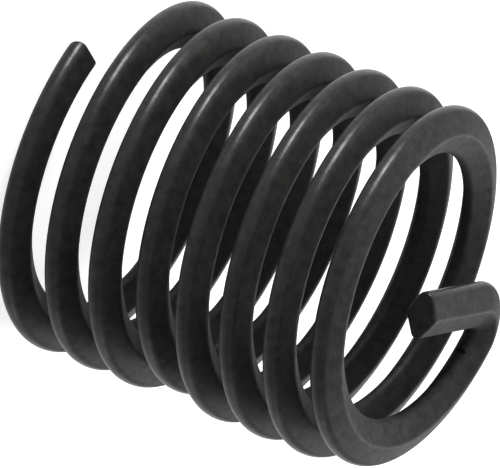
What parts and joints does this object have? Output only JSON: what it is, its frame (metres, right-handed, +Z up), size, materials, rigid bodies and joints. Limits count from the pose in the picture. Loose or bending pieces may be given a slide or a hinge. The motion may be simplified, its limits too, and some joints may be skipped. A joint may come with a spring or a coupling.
{
  "type": "helical thread insert",
  "caption": "Coil of rhombic steel wire that lines a tapped hole with a new screw thread, with a driving tang across one end.",
  "frame": {"origin": "on the coil's axis, level with the lowest point of the plain, sheared end", "axes": "+Z up the coil's axis, from the plain end to the driving tang; +X runs out to where the wire folds into the tang"},
  "size_m": [0.0124, 0.0124, 0.0137],
  "materials": {
    "coated_wire": "stainless spring steel wire with a satin black dry-film coating"
  },
  "bodies": {
    "root": {"thread_insert": "coated_wire"}
  },
  "joints": []
}
